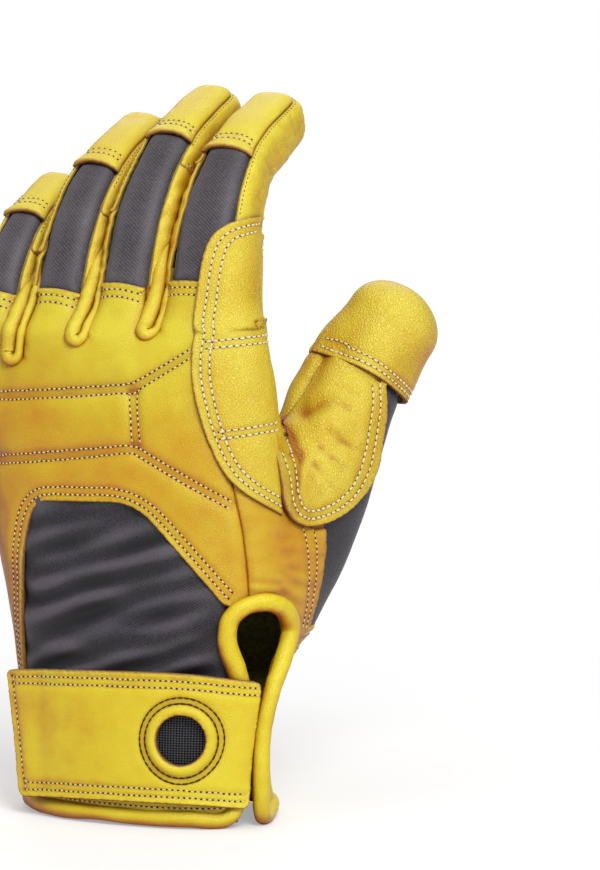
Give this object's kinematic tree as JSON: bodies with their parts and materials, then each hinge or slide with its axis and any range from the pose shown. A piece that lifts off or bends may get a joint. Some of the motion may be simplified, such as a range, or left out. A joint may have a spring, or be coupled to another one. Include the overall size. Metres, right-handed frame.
{
  "type": "climbing glove",
  "caption": "Full-finger left-hand climbing glove in hide and stretch cloth, with doubled palm, slit cuff and wrist strap with a round clip hole, held open as worn.",
  "frame": {"origin": "centre of the wrist opening, in the plane of the cuff's hem", "axes": "+Z from the wrist to the fingers, -Y out of the back of the hand, +Y out of the palm, +X towards the thumb"},
  "size_m": [0.1458, 0.1092, 0.242],
  "materials": {
    "leather": "golden yellow cowhide, fine grain, soft sheen",
    "palm_leather": "golden yellow cowhide, fine grain, soft sheen, second layer",
    "binding": "rolled golden yellow hide edge",
    "strap": "golden yellow hide strap, stitched edges",
    "cloth": "charcoal stretch twill, matte",
    "knit": "black knitted loop fabric, matte"
  },
  "bodies": {
    "root": {"index_cap": "leather", "index_front": "palm_leather", "index_side_strip": "leather", "index_back": "cloth", "middle_cap": "leather", "middle_front": "palm_leather", "middle_side_strip": "leather", "middle_back": "cloth", "ring_cap": "leather", "ring_front": "palm_leather", "ring_side_strip": "leather", "ring_back": "cloth", "little_cap": "leather", "little_front": "palm_leather", "little_side_strip": "leather", "little_back": "cloth", "fourchette_index_middle": "leather", "fourchette_middle_ring": "leather", "fourchette_ring_little": "leather", "thumb_cap": "leather", "thumb_patch": "palm_leather", "thumb_front": "leather", "thumb_back": "cloth", "palm_patch": "palm_leather", "palm_panel": "leather", "back_panel": "leather", "side_panel": "leather", "wrist_panel": "cloth", "cuff_binding": "binding", "wrist_strap": "strap", "loop_pad": "knit"}
  },
  "joints": []
}
